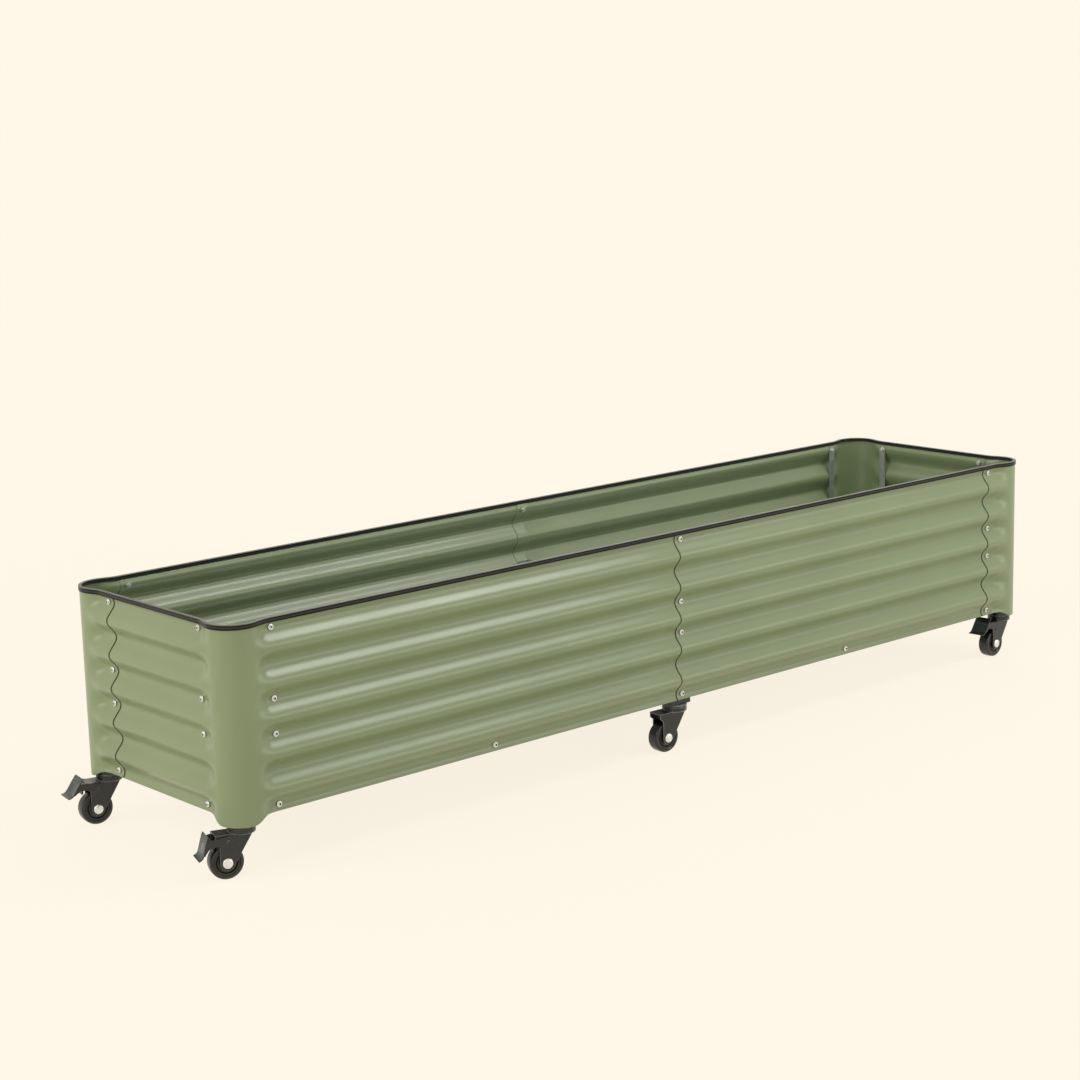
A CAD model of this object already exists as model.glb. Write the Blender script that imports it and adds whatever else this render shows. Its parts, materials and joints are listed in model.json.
import json
import math

import bmesh
import bpy
from mathutils import Matrix, Vector


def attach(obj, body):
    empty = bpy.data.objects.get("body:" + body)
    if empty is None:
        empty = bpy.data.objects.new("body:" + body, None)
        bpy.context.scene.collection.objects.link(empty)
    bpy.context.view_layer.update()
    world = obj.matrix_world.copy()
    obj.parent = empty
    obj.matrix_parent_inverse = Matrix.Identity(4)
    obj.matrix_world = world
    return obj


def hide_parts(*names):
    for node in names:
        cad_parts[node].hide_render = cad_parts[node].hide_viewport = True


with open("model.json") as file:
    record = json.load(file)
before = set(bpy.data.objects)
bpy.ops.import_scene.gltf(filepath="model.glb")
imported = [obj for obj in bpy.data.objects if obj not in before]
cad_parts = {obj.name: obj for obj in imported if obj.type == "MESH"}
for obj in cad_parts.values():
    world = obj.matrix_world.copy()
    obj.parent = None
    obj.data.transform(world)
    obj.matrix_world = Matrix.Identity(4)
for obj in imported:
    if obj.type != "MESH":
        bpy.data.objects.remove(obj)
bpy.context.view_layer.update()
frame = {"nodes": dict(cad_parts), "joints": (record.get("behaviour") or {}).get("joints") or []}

scene = bpy.context.scene
scene.view_settings.view_transform = "Standard"


# Colours are written as in a paint chart, and shaders want them linear
def linear(chart):
    parts = [int(chart[i:i + 2], 16) / 255 for i in (1, 3, 5)]
    return [p / 12.92 if p <= 0.04045 else ((p + 0.055) / 1.055) ** 2.4 for p in parts] + [1]


def link(obj):
    scene.collection.objects.link(obj)
    return obj


def ease(share):
    return (1 - math.cos(math.pi * min(max(share, 0), 1))) / 2


# Trees of nodes, for shaders and for geometry alike

def wire(tree, value, socket):
    if isinstance(value, bpy.types.NodeSocket):
        tree.links.new(value, socket)
    else:
        socket.default_value = value


def addNode(tree, kind, inputs=None, **settings):
    node = tree.nodes.new(kind)
    for key, value in settings.items():
        setattr(node, key, value)
    for key, value in (inputs or {}).items():
        wire(tree, value, node.inputs[key])
    return node


def calc(tree, operation, a, b=0.0):
    return addNode(tree, "ShaderNodeMath", {0: a, 1: b}, operation=operation).outputs[0]


def remap(tree, value, low, high, toLow=0.0, toHigh=1.0):
    return addNode(tree, "ShaderNodeMapRange", {
        "Value": value, "From Min": low, "From Max": high, "To Min": toLow, "To Max": toHigh,
    }).outputs["Result"]


def mixColours(tree, share, a, b):
    node = addNode(tree, "ShaderNodeMix", data_type="RGBA")
    wire(tree, share, node.inputs["Factor"])
    colours = [s for s in node.inputs if s.type == "RGBA"]
    wire(tree, a, colours[0])
    wire(tree, b, colours[1])
    return next(s for s in node.outputs if s.type == "RGBA")


def newGroup(name, kind, inputs, outputs):
    tree = bpy.data.node_groups.new(name, kind)
    for label, (socketType, start) in inputs.items():
        socket = tree.interface.new_socket(name=label, in_out="INPUT", socket_type=socketType)
        if start is not None:
            socket.default_value = start
    for label, socketType in outputs.items():
        tree.interface.new_socket(name=label, in_out="OUTPUT", socket_type=socketType)
    return tree, tree.nodes.new("NodeGroupInput"), tree.nodes.new("NodeGroupOutput")


number = "NodeSocketFloat"


def objectSpot(tree):
    return addNode(tree, "ShaderNodeTexCoord").outputs["Object"]


def named(tree, label, dataType="FLOAT"):
    node = addNode(tree, "GeometryNodeInputNamedAttribute", {"Name": label}, data_type=dataType)
    return node.outputs["Attribute"]


# A geometry tree ends with real pieces in the material that it was given
def dressed(tree, geometry, material):
    real = addNode(tree, "GeometryNodeRealizeInstances", {0: geometry})
    made = addNode(tree, "GeometryNodeSetMaterial", {"Geometry": real.outputs[0], "Material": material})
    return made.outputs[0]


grainLook = {"fineDetail": 2.0, "broadDetail": 4.0, "broadRange": (0.3, 0.7)}


# Two scales of unevenness, which every finish has
def makeGrain():
    tree, given, result = newGroup("surfaceGrain", "ShaderNodeTree", {
        "Fine Scale": (number, 900.0), "Broad Scale": (number, 9.0), "Stretch": (number, 1.0),
    }, {"Fine": number, "Broad": number})
    spot = objectSpot(tree)
    fine = addNode(tree, "ShaderNodeTexNoise", {
        "Vector": spot, "Scale": given.outputs["Fine Scale"], "Detail": grainLook["fineDetail"],
    })
    parts = addNode(tree, "ShaderNodeSeparateXYZ", {0: spot})
    upright = calc(tree, "MULTIPLY", parts.outputs[2], given.outputs["Stretch"])
    drawn = addNode(tree, "ShaderNodeCombineXYZ", {0: parts.outputs[0], 1: parts.outputs[1], 2: upright})
    broad = addNode(tree, "ShaderNodeTexNoise", {
        "Vector": drawn.outputs[0], "Scale": given.outputs["Broad Scale"],
        "Detail": grainLook["broadDetail"],
    })
    wire(tree, fine.outputs[0], result.inputs["Fine"])
    wire(tree, remap(tree, broad.outputs[0], *grainLook["broadRange"]), result.inputs["Broad"])
    return tree


spangleLook = {"bendScale": 60.0, "bendReach": 0.012, "glossRange": (0.85, 1.15)}


# The crystal flakes of hot-dipped zinc
def makeSpangle():
    tree, given, result = newGroup("zincSpangle", "ShaderNodeTree", {
        "Flakes": (number, 130.0), "Contrast": (number, 0.3),
    }, {"Flake": number})
    spot = objectSpot(tree)
    bent = addNode(tree, "ShaderNodeTexNoise", {"Vector": spot, "Scale": spangleLook["bendScale"]})
    bend = addNode(tree, "ShaderNodeVectorMath", {
        0: bent.outputs["Color"], 1: (spangleLook["bendReach"],) * 3,
    }, operation="MULTIPLY")
    moved = addNode(tree, "ShaderNodeVectorMath", {0: spot, 1: bend.outputs[0]}, operation="ADD")
    cells = addNode(tree, "ShaderNodeTexVoronoi", {
        "Vector": moved.outputs[0], "Scale": given.outputs["Flakes"],
    })
    shade = addNode(tree, "ShaderNodeSeparateColor", {0: cells.outputs["Color"]}).outputs[0]
    low = calc(tree, "SUBTRACT", 0.5, calc(tree, "MULTIPLY", given.outputs["Contrast"], 0.5))
    high = calc(tree, "ADD", 0.5, calc(tree, "MULTIPLY", given.outputs["Contrast"], 0.5))
    wire(tree, remap(tree, shade, 0.0, 1.0, low, high), result.inputs["Flake"])
    return tree


dustLook = {"patchScale": 140.0, "patchDetail": 5.0, "patchRange": (0.4, 0.7), "roughness": 0.8}


# Dust that has gathered near the ground, thinning out with height
def makeDust():
    tree, given, result = newGroup("groundDust", "ShaderNodeTree", {
        "Height": (number, 0.06), "Amount": (number, 0.2),
    }, {"Mask": number})
    spot = objectSpot(tree)
    up = addNode(tree, "ShaderNodeSeparateXYZ", {0: spot}).outputs[2]
    near = remap(tree, up, given.outputs["Height"], 0.0)
    patches = addNode(tree, "ShaderNodeTexNoise", {
        "Vector": spot, "Scale": dustLook["patchScale"], "Detail": dustLook["patchDetail"],
    })
    patchy = remap(tree, patches.outputs[0], *dustLook["patchRange"])
    mask = calc(tree, "MULTIPLY", calc(tree, "MULTIPLY", near, patchy), given.outputs["Amount"])
    wire(tree, mask, result.inputs["Mask"])
    return tree


grainGroup, spangleGroup, dustGroup = makeGrain(), makeSpangle(), makeDust()
seamFade = (0.15, 0.6)
bumpStrength = 0.5


# One finish: two close shades, an uneven gloss and a fine grain in the surface
def makeFinish(name, look):
    material = bpy.data.materials.new(name)
    material.use_nodes = True
    tree = material.node_tree
    shader = next(n for n in tree.nodes if n.type == "BSDF_PRINCIPLED")
    grain = addNode(tree, "ShaderNodeGroup", node_tree=grainGroup)
    for label, key in (("Fine Scale", "fineScale"), ("Broad Scale", "broadScale"), ("Stretch", "stretch")):
        if key in look:
            grain.inputs[label].default_value = look[key]
    colour = mixColours(tree, grain.outputs["Broad"], linear(look["colour"]), linear(look["second"]))
    rough = remap(tree, grain.outputs["Broad"], 0.0, 1.0, *look["roughness"])
    if "flakes" in look:
        spangle = addNode(tree, "ShaderNodeGroup", {"Flakes": look["flakes"]}, node_tree=spangleGroup)
        spangle.inputs["Contrast"].default_value = look["flakeContrast"]
        colour = mixColours(tree, spangle.outputs["Flake"], linear(look["flakeDark"]), colour)
        gloss = remap(tree, spangle.outputs["Flake"], 0.0, 1.0, *spangleLook["glossRange"])
        rough = calc(tree, "MULTIPLY", rough, gloss)
    if "seam" in look:
        shade = addNode(tree, "ShaderNodeAttribute", attribute_name="seamShade").outputs["Fac"]
        # The seam is drawn on the outer face only, which looks away from the upright middle line
        spot = objectSpot(tree)
        level = addNode(tree, "ShaderNodeVectorMath", {0: spot, 1: (1, 1, 0)}, operation="MULTIPLY")
        facing = addNode(tree, "ShaderNodeVectorMath", {
            0: level.outputs[0], 1: addNode(tree, "ShaderNodeNewGeometry").outputs["True Normal"],
        }, operation="DOT_PRODUCT")
        outside = calc(tree, "GREATER_THAN", facing.outputs["Value"], 0.0)
        line = calc(tree, "MULTIPLY", remap(tree, shade, *seamFade), outside)
        colour = mixColours(tree, line, colour, linear(look["seam"]))
    if "bands" in look:
        height = addNode(tree, "ShaderNodeSeparateXYZ", {0: objectSpot(tree)}).outputs[2]
        ramp = addNode(tree, "ShaderNodeValToRGB", {0: remap(tree, height, *look["bandHeights"])})
        while len(ramp.color_ramp.elements) < len(look["bands"]):
            ramp.color_ramp.elements.new(1.0)
        for element, (at, shade) in zip(ramp.color_ramp.elements, look["bands"]):
            element.position, element.color = at, (shade, shade, shade, 1)
        colour = mixColours(tree, ramp.outputs["Color"], colour, linear(look["bandColour"]))
    if "dust" in look:
        dust = addNode(tree, "ShaderNodeGroup", {"Amount": look["dust"]}, node_tree=dustGroup)
        colour = mixColours(tree, dust.outputs["Mask"], colour, linear(look["dustColour"]))
        rough = remap(tree, dust.outputs["Mask"], 0.0, 1.0, rough, dustLook["roughness"])
    wire(tree, colour, shader.inputs["Base Color"])
    wire(tree, rough, shader.inputs["Roughness"])
    shader.inputs["Metallic"].default_value = look.get("metallic", 0.0)
    shader.inputs["Coat Weight"].default_value = look.get("coat", 0.0)
    shader.inputs["Coat Roughness"].default_value = look.get("coatRoughness", 0.2)
    shader.inputs["Specular IOR Level"].default_value = look.get("specular", 0.5)
    bump = addNode(tree, "ShaderNodeBump", {
        "Height": grain.outputs["Fine"], "Distance": look["bump"], "Strength": bumpStrength,
    })
    wire(tree, bump.outputs[0], shader.inputs["Normal"])
    return material


finishes = {
    "paintedSheet": {
        "colour": "#7f8e69", "second": "#7a8864", "roughness": (0.3, 0.37), "coat": 0.25,
        "coatRoughness": 0.2, "fineScale": 520.0, "broadScale": 5.0, "bump": 0.00003,
        "seam": "#1c2113",
    },
    "cutEdge": {
        "colour": "#59624a", "second": "#6b7358", "roughness": (0.45, 0.6), "fineScale": 1500.0,
        "broadScale": 60.0, "bump": 0.00002,
    },
    "rimRubber": {
        "colour": "#0b0c0b", "second": "#070807", "roughness": (0.28, 0.36), "specular": 0.16,
        "fineScale": 2200.0, "broadScale": 25.0, "bump": 0.00002, "bandColour": "#a9ada2",
        "bandHeights": (0.372, 0.38005), "bands": (
            (0.0, 0.0), (0.22, 0.0), (0.34, 0.07), (0.58, 0.07),
            (0.68, 0.0), (0.85, 0.0), (0.94, 0.55), (0.985, 0.2),
        ),
    },
    "blackSteel": {
        "colour": "#1b1f1c", "second": "#151816", "roughness": (0.24, 0.34), "coat": 0.1,
        "fineScale": 1400.0, "broadScale": 45.0, "bump": 0.00002, "dust": 0.06, "dustColour": "#8b8577",
    },
    "wornEdge": {
        "colour": "#989d97", "second": "#7d837d", "roughness": (0.2, 0.3), "coat": 0.2,
        "fineScale": 1400.0, "broadScale": 90.0, "bump": 0.00001,
    },
    "pedalSteel": {
        "colour": "#454f4e", "second": "#3a4342", "roughness": (0.25, 0.36), "metallic": 0.7,
        "fineScale": 1800.0, "broadScale": 70.0, "stretch": 0.2, "bump": 0.00002,
    },
    "zincSheet": {
        "colour": "#c9ccca", "second": "#bbbfbe", "roughness": (0.34, 0.46), "metallic": 0.85,
        "fineScale": 800.0, "broadScale": 18.0, "bump": 0.00002, "flakes": 110.0,
        "flakeContrast": 0.5, "flakeDark": "#9da3a4",
    },
    "zincHardware": {
        "colour": "#eceeec", "second": "#dadcda", "roughness": (0.22, 0.34), "metallic": 0.75,
        "fineScale": 2600.0, "broadScale": 160.0, "bump": 0.00001,
    },
    "socketShadow": {
        "colour": "#3b3d3c", "second": "#2d2f2e", "roughness": (0.5, 0.6), "metallic": 0.3,
        "fineScale": 2600.0, "broadScale": 160.0, "bump": 0.00001,
    },
    "hubPlastic": {
        "colour": "#191918", "second": "#131312", "roughness": (0.28, 0.4), "fineScale": 1500.0,
        "broadScale": 50.0, "bump": 0.00002, "dust": 0.08, "dustColour": "#8b8577",
    },
    "tyreRubber": {
        "colour": "#1e1f1e", "second": "#181918", "roughness": (0.24, 0.34), "fineScale": 1300.0,
        "broadScale": 60.0, "bump": 0.00003, "dust": 0.1, "dustColour": "#8b8577",
    },
}
finish = {name: makeFinish(name, look) for name, look in finishes.items()}
print("finishes made")


# Making pieces: edges sharper than these angles, in degrees, stay sharp

crease = {"pressing": 32, "sheet": 50, "trim": 50, "screw": 35, "tyre": 35}
merging = {"reach": 1e-6, "sliver": 1e-7, "flatAngle": 0.5}


def place(piece, body, material, *nodes):
    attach(piece, body)
    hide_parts(*nodes)
    return piece


def smoothShade(mesh, angle):
    for polygon in mesh.polygons:
        polygon.use_smooth = True
    mesh.set_sharp_from_angle(angle=math.radians(angle))


def faceOutwards(mesh):
    work = bmesh.new()
    work.from_mesh(mesh)
    bmesh.ops.recalc_face_normals(work, faces=work.faces)
    work.to_mesh(mesh)
    work.free()


# The result of an object's modifiers as a plain mesh, and the object is gone
def baked(obj, name, angle):
    graph = bpy.context.evaluated_depsgraph_get()
    mesh = bpy.data.meshes.new_from_object(obj.evaluated_get(graph))
    mesh.name = name
    bpy.data.objects.remove(obj)
    smoothShade(mesh, angle)
    return link(bpy.data.objects.new(name, mesh))


def runTree(obj, tree, values):
    modifier = obj.modifiers.new(tree.name, "NODES")
    modifier.node_group = tree
    for item in tree.interface.items_tree:
        if item.in_out == "INPUT" and item.name in values:
            modifier[item.identifier] = values[item.name]


def pointValues(mesh, label, values):
    mesh.attributes.new(label, "FLOAT", "POINT").data.foreach_set("value", values)


def pointVectors(mesh, label, vectors):
    flat = [part for vector in vectors for part in vector]
    mesh.attributes.new(label, "FLOAT_VECTOR", "POINT").data.foreach_set("vector", flat)


# A merged copy of a CAD node, which leaves the node's own mesh alone
def mergedCopy(node):
    work = bmesh.new()
    work.from_mesh(frame["nodes"][node].data)
    bmesh.ops.remove_doubles(work, verts=work.verts, dist=merging["reach"])
    flat = math.radians(merging["flatAngle"])
    bmesh.ops.dissolve_limit(work, angle_limit=flat, verts=work.verts, edges=work.edges)
    return work


# A copy of a node with its hard edges rounded, as on pressed steel
def rounded(node, name, material, width, body, edge=None):
    angle = crease["pressing"]
    work = mergedCopy(node)
    mesh = bpy.data.meshes.new(name)
    work.to_mesh(mesh)
    work.free()
    mesh.materials.clear()
    mesh.materials.append(finish[material])
    smoothShade(mesh, angle)
    piece = link(bpy.data.objects.new(name, mesh))
    bevel = piece.modifiers.new("roundedEdges", "BEVEL")
    if edge:
        mesh.materials.append(finish[edge])
        bevel.material = 1
    bevel.width = width
    bevel.segments = 2
    bevel.limit_method = "ANGLE"
    bevel.angle_limit = math.radians(angle)
    bevel.harden_normals = True
    return place(piece, body, material, node)


# The separate solids of a node, each as the list of its corners
def solidsOf(node):
    work = mergedCopy(node)
    work.verts.ensure_lookup_table()
    seen, found = set(), []
    for start in work.verts:
        if start.index in seen:
            continue
        pile, corners = [start], []
        seen.add(start.index)
        while pile:
            corner = pile.pop()
            corners.append(corner.co.copy())
            for edge in corner.link_edges:
                other = edge.other_vert(corner)
                if other.index not in seen:
                    seen.add(other.index)
                    pile.append(other)
        found.append(corners)
    work.free()
    return found


# Corrugated sheets

bed = {
    "length": 1.824, "width": 0.424, "cornerRadius": 0.041, "wallBottom": 0.091,
    "footBottom": 0.08, "footFlat": 0.031, "footEnd": 0.066, "footSliver": 0.97, "rimTop": 0.3787,
}
wave = {
    "pitch": 0.053, "ribs": 5, "depth": 0.015, "edgeRun": 0.0086, "proud": 0.012,
    "fadeStart": 0.041, "fadeRun": 0.039, "samples": 28,
}
sheet = {
    "thickness": 0.0008, "layerStep": 0.0009, "wingEnd": 0.109, "panelEnd": 0.083,
    "lapHalf": 0.012, "joggle": 0.004, "joggleGap": 0.0002, "shadeReach": 0.0038,
    "fadeSteps": 22, "roundSteps": 20, "joggleSteps": 5, "panelSteps": 10, "footRows": 3,
    "longestRun": 0.08,
}
waveTop = wave["ribs"] * wave["pitch"] + 2 * wave["edgeRun"]


def span(side):
    return bed["length"] if side % 2 == 0 else bed["width"]


def reach(side):
    return span(side + 1) / 2


def turned(x, y, side):
    for _ in range(side % 4):
        x, y = -y, x
    return x, y


# A grid's columns carry: place, way out, share of the ribs, layers inwards, lowest edge, seam shade
def column(c, x, y, outX, outY, layers, shade=0.0, side=None):
    along = max(x, y) if side is None else 1.0
    share = ease((along - wave["fadeStart"]) / wave["fadeRun"])
    rise = ease((along - bed["footFlat"]) / (bed["footEnd"] - bed["footFlat"]))
    if rise > bed["footSliver"]:
        rise = 1
    low = bed["footBottom"] + (bed["wallBottom"] - bed["footBottom"]) * rise
    if side is None:
        spot, out = turned(x - span(c) / 2, y - reach(c), c), turned(outX, outY, c)
    else:
        spot, out = turned(x, y - reach(side), side), turned(outX, outY, side)
    return {
        "at": spot, "out": (*out, 0), "share": share, "layers": layers * share,
        "low": low, "shade": shade,
    }


def steps(start, end, count):
    return [start + (end - start) * i / count for i in range(count + 1)]


# Distances from the corner at which a wing has its columns
def wingStops(end, seam=None):
    stops = steps(wave["fadeStart"], wave["fadeStart"] + wave["fadeRun"], sheet["fadeSteps"])
    last = stops[-1]
    marks = [seam + sheet["shadeReach"] * k for k in (-2, -1, 0, 1)] if seam else []
    for mark in [m for m in marks if m < end] + [end]:
        pieces = max(1, round((mark - last) / sheet["longestRun"]))
        stops += steps(last, mark, pieces)[1:]
        last = mark
    return stops


# The columns round a corner, between its two wings
def roundColumns(c, count, layers):
    r = bed["cornerRadius"]
    columns = []
    for angle in steps(180, 270, count)[1:-1]:
        cos, sin = math.cos(math.radians(angle)), math.sin(math.radians(angle))
        columns.append(column(c, r + r * cos, r + r * sin, cos, sin, layers))
    return columns


def seamShade(x, seam):
    return max(0.0, 1 - abs(seam - x) / sheet["shadeReach"]) if seam else 0.0


def cornerColumns(c):
    isLong = c % 2 == 0
    base = 1 if isLong else 0
    endA = bed["length"] / 2 + sheet["lapHalf"] if isLong else sheet["wingEnd"]
    endB = bed["width"] - sheet["panelEnd"] if isLong else sheet["wingEnd"]
    seamB = bed["width"] - sheet["wingEnd"] if isLong else None
    columns = [column(c, 0, t, -1, 0, base, seamShade(t, seamB)) for t in reversed(wingStops(endB, seamB))]
    columns += roundColumns(c, sheet["roundSteps"], base)
    if not isLong:
        return columns + [column(c, t, 0, 0, -1, base) for t in wingStops(endA)]
    # The sheet steps inwards just before the middle seam, to pass under the side panel
    seam = bed["length"] / 2 - sheet["lapHalf"]
    low = seam - sheet["joggleGap"]
    high = low - sheet["joggle"]
    stops = wingStops(high) + steps(high, low, sheet["joggleSteps"])[1:]
    for t in stops + [seam, seam + sheet["shadeReach"], endA]:
        inwards = min(max((t - high) / sheet["joggle"], 0), 1)
        columns.append(column(c, t, 0, 0, -1, base + inwards, seamShade(t, seam)))
    return columns


def panelColumns(side):
    seam = span(side) / 2 - sheet["wingEnd"]
    stops = steps(-sheet["lapHalf"], seam - 2 * sheet["shadeReach"], sheet["panelSteps"])
    stops += [seam + sheet["shadeReach"] * k for k in (-1, 0, 1)]
    stops.append(span(side) / 2 - sheet["panelEnd"])
    return [column(0, t, 0, 0, -1, 1, seamShade(t, seam), side) for t in stops]


def rowHeights():
    fine = wave["pitch"] / wave["samples"]
    count = wave["ribs"] * wave["samples"]
    before = int(wave["edgeRun"] / fine)
    ups = [0.0] + [wave["edgeRun"] + i * fine for i in range(-before, count + before + 1)]
    return ups + [waveTop, bed["rimTop"] - bed["wallBottom"]]


def shifted(tree, geometry, way, length):
    shift = addNode(tree, "ShaderNodeVectorMath", {0: way}, operation="SCALE")
    wire(tree, length, shift.inputs["Scale"])
    moved = addNode(tree, "GeometryNodeSetPosition", {"Geometry": geometry, "Offset": shift.outputs[0]})
    return moved.outputs[0]


# Bends flat walls into waves, and moves a lapped sheet inwards by its layers
def makeCorrugate():
    tree, given, result = newGroup("corrugateSheet", "GeometryNodeTree", {
        "Geometry": ("NodeSocketGeometry", None), "Rib Pitch": (number, 0.05),
        "Rib Depth": (number, 0.01), "Edge Run": (number, 0.01), "Ribs": (number, 5.0),
        "Corner Proud": (number, 0.01), "Wall Bottom": (number, 0.1), "Layer Step": (number, 0.001),
        "Material": ("NodeSocketMaterial", None),
    }, {"Geometry": "NodeSocketGeometry"})
    get = given.outputs
    position = addNode(tree, "GeometryNodeInputPosition").outputs[0]
    height = addNode(tree, "ShaderNodeSeparateXYZ", {0: position}).outputs[2]
    up = calc(tree, "MAXIMUM", calc(tree, "SUBTRACT", height, get["Wall Bottom"]), 0.0)
    ribRun = calc(tree, "MULTIPLY", get["Ribs"], get["Rib Pitch"])
    top = calc(tree, "ADD", ribRun, calc(tree, "MULTIPLY", get["Edge Run"], 2.0))
    inWave = calc(tree, "SUBTRACT", calc(tree, "MINIMUM", up, top), get["Edge Run"])
    turn = calc(tree, "MULTIPLY", calc(tree, "DIVIDE", inWave, get["Rib Pitch"]), math.tau)
    rise = calc(tree, "SUBTRACT", 1.0, calc(tree, "COSINE", turn))
    rib = calc(tree, "MULTIPLY", rise, calc(tree, "MULTIPLY", get["Rib Depth"], 0.5))
    proud = calc(tree, "SUBTRACT", rib, get["Corner Proud"])
    push = calc(tree, "MULTIPLY", proud, named(tree, "ribShare"))
    waved = shifted(tree, get["Geometry"], named(tree, "wayOut", "FLOAT_VECTOR"), push)
    layers = calc(tree, "MULTIPLY", named(tree, "layers"), get["Layer Step"])
    normal = addNode(tree, "GeometryNodeInputNormal").outputs[0]
    lapped = shifted(tree, waved, normal, calc(tree, "MULTIPLY", layers, -1.0))
    wire(tree, dressed(tree, lapped, get["Material"]), result.inputs[0])
    return tree


corrugate = makeCorrugate()


def makeSheet(name, columns, node):
    footRows = sheet["footRows"]
    ups = rowHeights()
    verts, values = [], []
    for c in columns:
        heights = [c["low"] + (bed["wallBottom"] - c["low"]) * i / footRows for i in range(footRows)]
        heights += [bed["wallBottom"] + u for u in ups]
        for z in heights:
            verts.append((*c["at"], z))
            values.append(c)
    rows = footRows + len(ups)
    faces = []
    for i in range(len(columns) - 1):
        noFoot = min(columns[i]["low"], columns[i + 1]["low"]) > bed["wallBottom"] - merging["sliver"]
        for j in range(footRows if noFoot else 0, rows - 1):
            faces.append((i * rows + j, (i + 1) * rows + j, (i + 1) * rows + j + 1, i * rows + j + 1))
    mesh = bpy.data.meshes.new(name)
    mesh.from_pydata(verts, [], faces)
    for label, key in (("ribShare", "share"), ("layers", "layers"), ("seamShade", "shade")):
        pointValues(mesh, label, [v[key] for v in values])
    pointVectors(mesh, "wayOut", [v["out"] for v in values])
    work = bmesh.new()
    work.from_mesh(mesh)
    bmesh.ops.remove_doubles(work, verts=work.verts, dist=merging["reach"])
    bmesh.ops.dissolve_degenerate(work, edges=work.edges, dist=merging["sliver"])
    loose = [v for v in work.verts if not v.link_faces]
    bmesh.ops.delete(work, geom=loose, context="VERTS")
    work.to_mesh(mesh)
    work.free()
    flat = link(bpy.data.objects.new(name + "Flat", mesh))
    runTree(flat, corrugate, {
        "Rib Pitch": wave["pitch"], "Rib Depth": wave["depth"], "Edge Run": wave["edgeRun"],
        "Ribs": float(wave["ribs"]), "Corner Proud": wave["proud"], "Wall Bottom": bed["wallBottom"],
        "Layer Step": sheet["layerStep"], "Material": finish["paintedSheet"],
    })
    wall = flat.modifiers.new("sheetThickness", "SOLIDIFY")
    wall.thickness = sheet["thickness"]
    wall.offset = -1
    wall.material_offset_rim = 1
    piece = baked(flat, name, crease["sheet"])
    piece.data.materials.append(finish["cutEdge"])
    place(piece, "bed", "paintedSheet", node)


for c, corner in enumerate(["fl", "fr", "br", "bl"]):
    makeSheet("cornerSheet" + corner.capitalize(), cornerColumns(c), "corner_panel_" + corner)
for side, name in ((0, "fr"), (2, "bl")):
    makeSheet("sideSheet" + name.capitalize(), panelColumns(side), "side_panel_" + name)
print("sheets made")


# Rubber trim round the rim

trim = {
    "out": 0.00135, "wall": 0.0012, "in": 0.00395, "top": 0.00135, "drop": 0.0051,
    "skirt": 0.0015, "round": 0.0012, "lipRound": 0.0004, "beyondFade": 0.03, "roundSteps": 24,
    "arcSteps": 6, "lipSteps": 3,
}


def arcPoints(x, y, r, start, end, count):
    return [
        (x + r * math.cos(math.radians(a)), y + r * math.sin(math.radians(a)))
        for a in steps(start, end, count)
    ]


# The channel's section, in (out, up) from the sheets' top edge
def trimSection():
    out, wall, inn, top, drop = trim["out"], trim["wall"], trim["in"], trim["top"], trim["drop"]
    r, lip, skirt = trim["round"], trim["lipRound"], trim["drop"] + trim["skirt"]
    many, few = trim["arcSteps"], trim["lipSteps"]
    return (
        arcPoints(out - r, top - r, r, 0, 90, many) + arcPoints(r - inn, top - r, r, 90, 180, many)
        + arcPoints(lip - inn, lip - drop, lip, 180, 270, few)
        + arcPoints(wall - inn - lip, lip - drop, lip, 270, 360, few)
        + [(wall - inn, top - wall), (out - wall, top - wall)]
        + arcPoints(out - wall + lip, lip - skirt, lip, 180, 270, few)
        + arcPoints(out - lip, lip - skirt, lip, 270, 360, few)
    )


def closedCurve(name, points):
    data = bpy.data.curves.new(name, "CURVE")
    data.dimensions = "3D"
    spline = data.splines.new("POLY")
    spline.points.add(len(points) - 1)
    for point, at in zip(spline.points, points):
        point.co = (*at, 1)
    spline.use_cyclic_u = True
    return link(bpy.data.objects.new(name, data))


def makeSweep():
    tree, given, result = newGroup("sweepTrim", "GeometryNodeTree", {
        "Geometry": ("NodeSocketGeometry", None), "Section": ("NodeSocketObject", None),
        "Height": (number, 0.3), "Material": ("NodeSocketMaterial", None),
    }, {"Geometry": "NodeSocketGeometry"})
    up = addNode(tree, "ShaderNodeCombineXYZ", {2: given.outputs["Height"]})
    raised = addNode(tree, "GeometryNodeSetPosition", {
        "Geometry": given.outputs["Geometry"], "Offset": up.outputs[0],
    })
    upright = addNode(tree, "GeometryNodeSetCurveNormal", {0: raised.outputs[0]}, mode="Z_UP")
    section = addNode(tree, "GeometryNodeObjectInfo", {"Object": given.outputs["Section"]})
    swept = addNode(tree, "GeometryNodeCurveToMesh", {
        "Curve": upright.outputs[0], "Profile Curve": section.outputs["Geometry"],
    })
    wire(tree, dressed(tree, swept.outputs[0], given.outputs["Material"]), result.inputs[0])
    return tree


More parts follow.
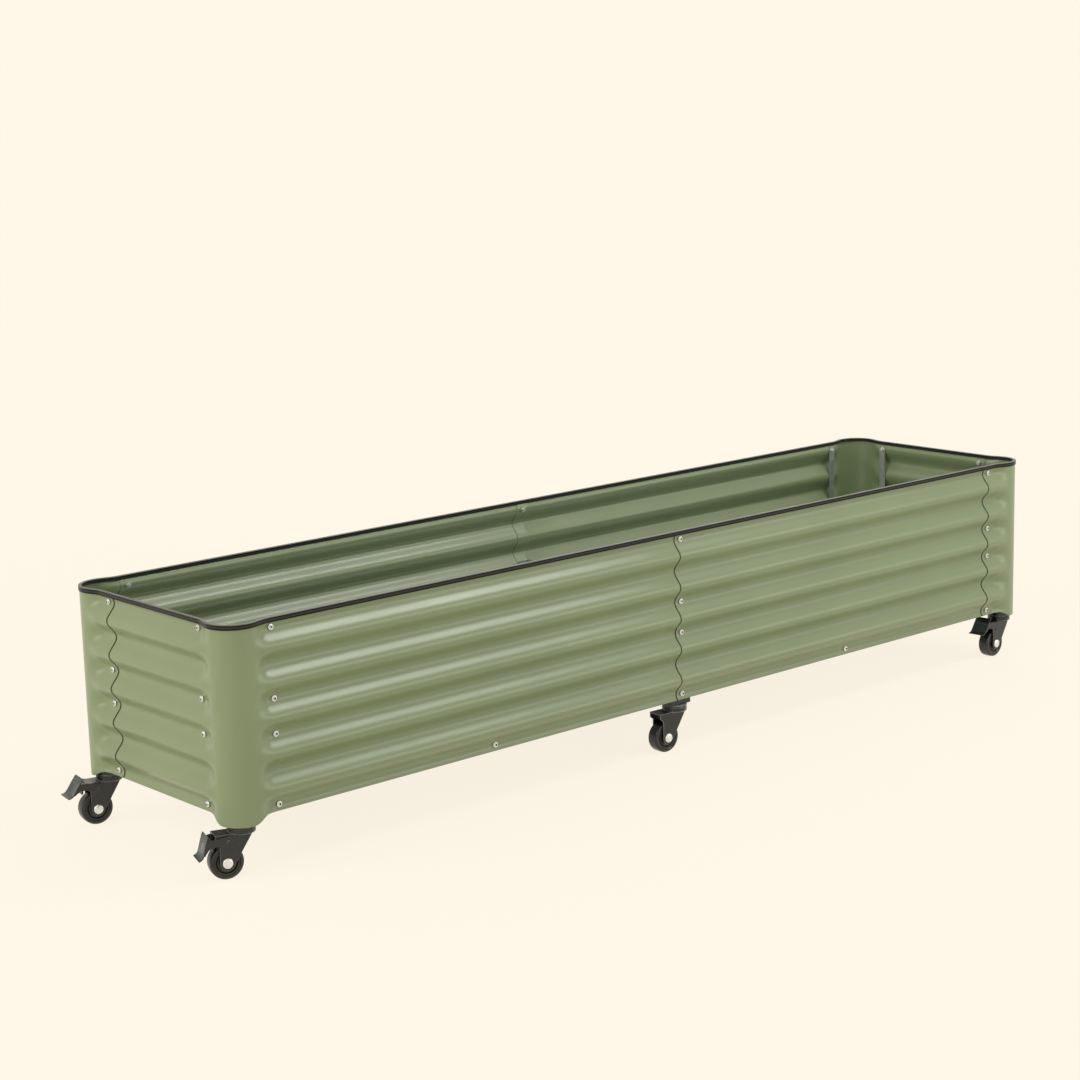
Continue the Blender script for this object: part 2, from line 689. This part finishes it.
def makeTrim():
    inWave = wave["ribs"] * wave["pitch"] + wave["edgeRun"]
    stepIn = wave["proud"] - wave["depth"] / 2 * (1 - math.cos(math.tau * inWave / wave["pitch"]))
    end = wave["fadeStart"] + wave["fadeRun"] + trim["beyondFade"]
    path = []
    for c in range(4):
        columns = [column(c, 0, t, -1, 0, 0) for t in reversed(wingStops(end))]
        columns += roundColumns(c, trim["roundSteps"], 0)
        columns +=[column(c, t, 0, 0, -1, 0) for t in wingStops(end)]
        for k in columns:
            inward = k["share"] * stepIn
            path.append((k["at"][0] - k["out"][0] * inward, k["at"][1] - k["out"][1] * inward, 0))
    curve = closedCurve("rimPath", path)
    # A section hangs upside down along its path
    section = closedCurve("trimSection", [(x, -y, 0) for x, y in trimSection()])
    runTree(curve, makeSweep(), {
        "Section": section, "Height": bed["rimTop"], "Material": finish["rimRubber"],
    })
    piece = baked(curve, "rimTrim", crease["trim"])
    faceOutwards(piece.data)
    bpy.data.objects.remove(section)
    place(piece, "bed", "rimRubber", "rim_trim")


makeTrim()
print("trim made")


# Flanged screws with a hex socket

screw = {
    "headWidth": 0.0092, "headHeight": 0.0026, "flange": 0.35, "domeWidth": 0.62,
    "socketWidth": 0.42, "socketDepth": 0.6, "shankWidth": 0.0048, "sides": 36, "shankSides": 20,
}
headProfile = {
    "under": 0.46, "rim": 0.5, "rimBottom": 0.08, "rimTop": 0.7, "shelf": 0.475,
    "domeEdge": 0.06, "socketTop": 0.97, "domeSteps": 4,
}


# A head one unit wide and one unit high, with its rim at z = 0 and a sunk hex in its top
def makeHead():
    work = bmesh.new()
    inSocket = work.faces.layers.bool.new("inSocket")

    def ring(radius, z, flats=False):
        made = []
        for i in range(screw["sides"]):
            a = math.tau * i / screw["sides"]
            near = (a + math.pi / 6) % (math.pi / 3) - math.pi / 6
            r = radius / math.cos(near) * math.cos(math.pi / 6) if flats else radius
            made.append(work.verts.new((r * math.cos(a), r * math.sin(a), z)))
        return made

    flange, dome, socket = screw["flange"], screw["domeWidth"] / 2, screw["socketWidth"] / 2
    rim, edge = headProfile["rim"], headProfile["domeEdge"]
    rings = [
        ring(headProfile["under"], 0), ring(rim, headProfile["rimBottom"]),
        ring(rim, flange * headProfile["rimTop"]), ring(headProfile["shelf"], flange),
    ]
    for share in steps(0, 1, headProfile["domeSteps"]):
        a = share * math.pi / 2
        rise = (1 - edge - flange) * math.sin(a)
        rings.append(ring(dome - edge * (1 - math.cos(a)), flange + edge + rise))
    rings += [ring(socket, headProfile["socketTop"], True), ring(socket, 1 - screw["socketDepth"], True)]
    for k, (a, b) in enumerate(zip(rings, rings[1:])):
        for i in range(screw["sides"]):
            j = (i + 1) % screw["sides"]
            work.faces.new((a[i], a[j], b[j], b[i]))[inSocket] = k == len(rings) - 2
    work.faces.new(rings[-1])[inSocket] = True
    work.faces.new(list(reversed(rings[0])))
    mesh = bpy.data.meshes.new("screwHead")
    work.to_mesh(mesh)
    work.free()
    return link(bpy.data.objects.new("screwHead", mesh))


def makeScrewTree():
    tree, given, result = newGroup("setScrews", "GeometryNodeTree", {
        "Geometry": ("NodeSocketGeometry", None), "Head": ("NodeSocketObject", None),
        "Head Width": (number, 0.01), "Head Height": (number, 0.003), "Shank Width": (number, 0.005),
        "Material": ("NodeSocketMaterial", None), "Socket Material": ("NodeSocketMaterial", None),
    }, {"Geometry": "NodeSocketGeometry"})
    get = given.outputs
    wayOut, grip = named(tree, "wayOut", "FLOAT_VECTOR"), named(tree, "grip")
    facing = addNode(tree, "FunctionNodeAlignRotationToVector", {"Vector": wayOut}, axis="Z")
    headSize = addNode(tree, "ShaderNodeCombineXYZ", {
        0: get["Head Width"], 1: get["Head Width"], 2: get["Head Height"],
    })
    head = addNode(tree, "GeometryNodeObjectInfo", {"Object": get["Head"]})
    heads = addNode(tree, "GeometryNodeInstanceOnPoints", {
        "Points": get["Geometry"], "Instance": head.outputs["Geometry"],
        "Rotation": facing.outputs[0], "Scale": headSize.outputs[0],
    })
    rod = addNode(tree, "GeometryNodeMeshCylinder", {
        "Vertices": screw["shankSides"], "Radius": 0.5, "Depth": 1.0,
    })
    hung = addNode(tree, "GeometryNodeTransform", {
        "Geometry": rod.outputs["Mesh"], "Translation": (0, 0, -0.5),
    })
    rodSize = addNode(tree, "ShaderNodeCombineXYZ", {
        0: get["Shank Width"], 1: get["Shank Width"], 2: grip,
    })
    rods = addNode(tree, "GeometryNodeInstanceOnPoints", {
        "Points": get["Geometry"], "Instance": hung.outputs[0],
        "Rotation": facing.outputs[0], "Scale": rodSize.outputs[0],
    })
    both = addNode(tree, "GeometryNodeJoinGeometry")
    tree.links.new(heads.outputs[0], both.inputs[0])
    tree.links.new(rods.outputs[0], both.inputs[0])
    made = addNode(tree, "GeometryNodeSetMaterial", {
        "Geometry": dressed(tree, both.outputs[0], get["Material"]),
        "Selection": named(tree, "inSocket", "BOOLEAN"), "Material": get["Socket Material"],
    })
    wire(tree, made.outputs[0], result.inputs[0])
    return tree


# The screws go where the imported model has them: each solid gives its seat and its length
def makeScrews():
    seats, outs, grips = [], [], []
    for corners in solidsOf("panel_screws"):
        low = Vector([min(c[k] for c in corners) for k in range(3)])
        high = Vector([max(c[k] for c in corners) for k in range(3)])
        middle, size = (low + high) / 2, high - low
        axis = 0 if size.x > size.y else 1
        out = Vector((0, 0, 0))
        out[axis] = 1 if middle[axis] > 0 else -1
        length = size[axis]
        seats.append(middle + out * (length / 2 - screw["headHeight"]))
        outs.append(out)
        grips.append(length - screw["headHeight"])
    mesh = bpy.data.meshes.new("screwSeats")
    mesh.from_pydata(seats, [], [])
    pointVectors(mesh, "wayOut", outs)
    pointValues(mesh, "grip", grips)
    head = makeHead()
    points = link(bpy.data.objects.new("screwSeats", mesh))
    runTree(points, makeScrewTree(), {
        "Head": head, "Head Width": screw["headWidth"], "Head Height": screw["headHeight"],
        "Shank Width": screw["shankWidth"], "Material": finish["zincHardware"],
        "Socket Material": finish["socketShadow"],
    })
    piece = baked(points, "panelScrews", crease["screw"])
    bpy.data.objects.remove(head)
    print(len(seats), "screws set")
    place(piece, "bed", "zincHardware", "panel_screws")


makeScrews()


# Floor, beams and brackets: pressed and folded steel with rounded edges

# For each node its piece, finish and width of the rounded edges
pressings = {
    "floor_panel_l": ("floorPanelL", "zincSheet", 0.0006),
    "floor_panel_r": ("floorPanelR", "zincSheet", 0.0006),
    "floor_beam_l": ("floorBeamL", "zincSheet", 0.0007),
    "floor_beam_r": ("floorBeamR", "zincSheet", 0.0007),
    "cross_brace": ("crossBrace", "zincSheet", 0.0006),
    "mid_crossbar": ("midCrossbar", "blackSteel", 0.0007),
    "stiffener_strips": ("stiffenerStrips", "zincSheet", 0.0004),
}
for corner in ("fl", "fr", "br", "bl"):
    pressings["corner_bracket_" + corner] = ("cornerBracket" + corner.capitalize(), "blackSteel", 0.0007)
for node, (name, material, width) in pressings.items():
    rounded(node, name, material, width, "bed")
print("frame parts made")


# Casters

wheel = {
    "radius": 0.026, "half": 0.0105, "shoulder": 0.0035, "seat": 0.0175, "crown": 0.0003,
    "bead": 0.0026, "grooveWidth": 0.0021, "groove": 0.0012, "beadEdge": (0.0004, 0.0003),
    "turns": 120, "arcSteps": 8,
}


# A closed outline in (radius, along the axle) turned round the axle of a joint
def lathe(name, outline, joint, material):
    axis = Vector(joint["axis"]).normalized()
    up = Vector((0, 0, 1))
    side = up.cross(axis)
    origin = Vector(joint["pos_m"])
    verts, faces, count, turns = [], [], len(outline), wheel["turns"]
    for i in range(turns):
        a = math.tau * i / turns
        ray = side * math.cos(a) + up * math.sin(a)
        verts += [origin + ray * r + axis * w for r, w in outline]
    for i in range(turns):
        for j in range(count):
            a, b = i * count, (i + 1) % turns * count
            faces.append((a + j, a + (j + 1) % count, b + (j + 1) % count, b + j))
    mesh = bpy.data.meshes.new(name)
    mesh.from_pydata(verts, [], faces)
    faceOutwards(mesh)
    mesh.materials.append(finish[material])
    smoothShade(mesh, crease["tyre"])
    return link(bpy.data.objects.new(name, mesh))


def tyreOutline():
    r, half, shoulder = wheel["radius"], wheel["half"], wheel["shoulder"]
    flat, count = half - shoulder, wheel["arcSteps"]
    right = arcPoints(r - shoulder - wheel["crown"], half - shoulder, shoulder, 90, 0, count)
    tread = [(r - wheel["crown"] * (w / flat) ** 2, w) for w in steps(flat, -flat, count)[1:-1]]
    left = [(x, -w) for x, w in reversed(right)]
    seat, groove = wheel["seat"], wheel["groove"]
    bead, (out, down) = seat + wheel["bead"], wheel["beadEdge"]
    inner = [(seat + wheel["grooveWidth"], half - groove), (bead, half - down), (bead + out, half)]
    return (
        [(seat, groove - half), (seat, half - groove)] + inner + right + tread + left
        + [(x, -w) for x, w in reversed(inner)]
    )


joints = {j["name"]: j for j in frame["joints"]}
casters = ["fl", "fm", "fr", "bl", "bm", "br"]
edgeWidth = {"stem": 0.0005, "fork": 0.0008, "axle": 0.0003, "hub": 0.0005, "pedal": 0.0004}
pedal = {"treadFrom": 0.0322, "treadHalf": 0.0142}


# Black arms with a bare tread: its faces lie far from the pivot and between the arms
def makePedal(key):
    name, body = "brakePedal" + key.capitalize(), "pedal_" + key
    piece = rounded("brake_pedal_" + key, name, "pedalSteel", edgeWidth["pedal"], body, "wornEdge")
    joint = joints["brake_tilt_" + key]
    axis, pivot = Vector(joint["axis"]).normalized(), Vector(joint["pos_m"])
    piece.data.materials.append(finish["blackSteel"])
    for polygon in piece.data.polygons:
        away = polygon.center - pivot
        along = away.dot(axis)
        isTread = (away - axis * along).length > pedal["treadFrom"] and abs(along) < pedal["treadHalf"]
        polygon.material_index = 0 if isTread else 2


for key in casters:
    tail = key.capitalize()
    swivel, rolling, tilting = "swivel_" + key, "wheel_" + key, "brake_tilt_" + key
    rounded("caster_stem_" + key, "casterStem" + tail, "blackSteel", edgeWidth["stem"], "bed", "wornEdge")
    rounded("fork_" + key, "fork" + tail, "blackSteel", edgeWidth["fork"], swivel, "wornEdge")
    rounded("axle_" + key, "axle" + tail, "zincHardware", edgeWidth["axle"], swivel)
    if tilting in joints:
        makePedal(key)
    rounded("wheel_hub_" + key, "wheelHub" + tail, "hubPlastic", edgeWidth["hub"], rolling)
    tyre = lathe("tyre" + tail, tyreOutline(), joints["wheel_roll_" + key], "tyreRubber")
    place(tyre, rolling, "tyreRubber", "tyre_" + key)
print("casters made")

for node in ("panel_nuts", "stem_nuts"):
    frame["nodes"][node].data.materials.clear()
    frame["nodes"][node].data.materials.append(finish["zincHardware"])


# Floor, light and camera

studio = {
    "cream": "#fff7e8", "glowNear": 0.9, "nearReach": 0.9, "farReach": 2.4,
    "skyStrength": 0.5, "skyColour": "#fffaf4", "floorHalf": 30,
}


# The rays for which the backdrop stays plain: straight ones, through glass and off mirrors
def plainRays(tree):
    path = addNode(tree, "ShaderNodeLightPath")
    seen = calc(tree, "MAXIMUM", path.outputs["Is Camera Ray"], path.outputs["Is Transmission Ray"])
    return calc(tree, "MAXIMUM", seen, path.outputs["Is Glossy Ray"])


def makeWorld():
    world = bpy.data.worlds.new("studio")
    world.use_nodes = True
    scene.world = world
    tree = world.node_tree
    tree.nodes.clear()
    backdrop = addNode(tree, "ShaderNodeBackground", {"Color": linear(studio["cream"]), "Strength": 1.0})
    sky = addNode(tree, "ShaderNodeBackground", {
        "Color": linear(studio["skyColour"]), "Strength": studio["skyStrength"],
    })
    mixed = addNode(tree, "ShaderNodeMixShader", {
        0: plainRays(tree), 1: sky.outputs[0], 2: backdrop.outputs[0],
    })
    addNode(tree, "ShaderNodeOutputWorld", {"Surface": mixed.outputs[0]})


def makeFloor():
    material = bpy.data.materials.new("creamFloor")
    material.use_nodes = True
    tree = material.node_tree
    tree.nodes.clear()
    matt = addNode(tree, "ShaderNodeBsdfDiffuse", {"Color": linear(studio["cream"])})
    glow = addNode(tree, "ShaderNodeEmission", {"Color": linear(studio["cream"]), "Strength": 1.0})
    away = addNode(tree, "ShaderNodeVectorMath", {
        0: addNode(tree, "ShaderNodeTexCoord").outputs["Object"],
    }, operation="LENGTH").outputs["Value"]
    glowShare = remap(tree, away, studio["nearReach"], studio["farReach"], studio["glowNear"], 1.0)
    seen = calc(tree, "MULTIPLY", plainRays(tree), glowShare)
    mixed = addNode(tree, "ShaderNodeMixShader", {0: seen, 1: matt.outputs[0], 2: glow.outputs[0]})
    addNode(tree, "ShaderNodeOutputMaterial", {"Surface": mixed.outputs[0]})
    mesh = bpy.data.meshes.new("studioFloor")
    far = studio["floorHalf"]
    mesh.from_pydata([(-far, -far, 0), (far, -far, 0), (far, far, 0), (-far, far, 0)], [], [(0, 1, 2, 3)])
    mesh.materials.append(material)
    link(bpy.data.objects.new("studioFloor", mesh))


lamps = {
    "keyLamp": {
        "at": (-3.6, 0.2, 2.3), "aim": (0, 0, 0.2), "size": (3.2, 2.4), "power": 82, "colour": "#fffaf4",
    },
    "ribLamp": {
        "at": (1.1, -1.16, 2.5), "aim": (1.1, -0.2, 0.2), "size": (1.6, 0.4),
        "power": 23, "colour": "#ffffff",
    },
    "frontLamp": {
        "at": (2.2, -3.6, 1.3), "aim": (0.3, 0, 0.2), "size": (3.5, 2.0), "power": 38, "colour": "#ffffff",
    },
    "backLamp": {
        "at": (2.6, 2.6, 2.2), "aim": (0, 0, 0.2), "size": (2.6, 1.6), "power": 30, "colour": "#ffffff",
    },
}


def makeLamps():
    for name, lamp in lamps.items():
        data = bpy.data.lights.new(name, "AREA")
        data.shape = "RECTANGLE"
        data.size, data.size_y = lamp["size"]
        data.energy = lamp["power"]
        data.color = linear(lamp["colour"])[:3]
        obj = link(bpy.data.objects.new(name, data))
        obj.location = lamp["at"]
        obj.rotation_euler = (Vector(lamp["aim"]) - obj.location).to_track_quat("-Z", "Y").to_euler()


shot = {"lens": 78.08, "at": (-2.6828, -2.9083, 1.1522), "yaw": 41.2376, "pitch": 11.6315, "roll": -1.4824}


def makeCamera():
    data = bpy.data.cameras.new("shot")
    data.lens, data.sensor_width = shot["lens"], 36
    yaw, pitch, roll = (math.radians(shot[k]) for k in ("yaw", "pitch", "roll"))
    ahead = Vector((math.sin(yaw) * math.cos(pitch), math.cos(yaw) * math.cos(pitch), -math.sin(pitch)))
    right = Vector((math.cos(yaw), -math.sin(yaw), 0))
    up = right.cross(ahead)
    rightRolled = right * math.cos(roll) + up * math.sin(roll)
    upRolled = up * math.cos(roll) - right * math.sin(roll)
    camera = link(bpy.data.objects.new("shot", data))
    looking = Matrix((rightRolled, upRolled, -ahead)).transposed().to_4x4()
    camera.matrix_world = Matrix.Translation(shot["at"]) @ looking
    scene.camera = camera


makeWorld()
makeFloor()
makeLamps()
makeCamera()
print("studio made")
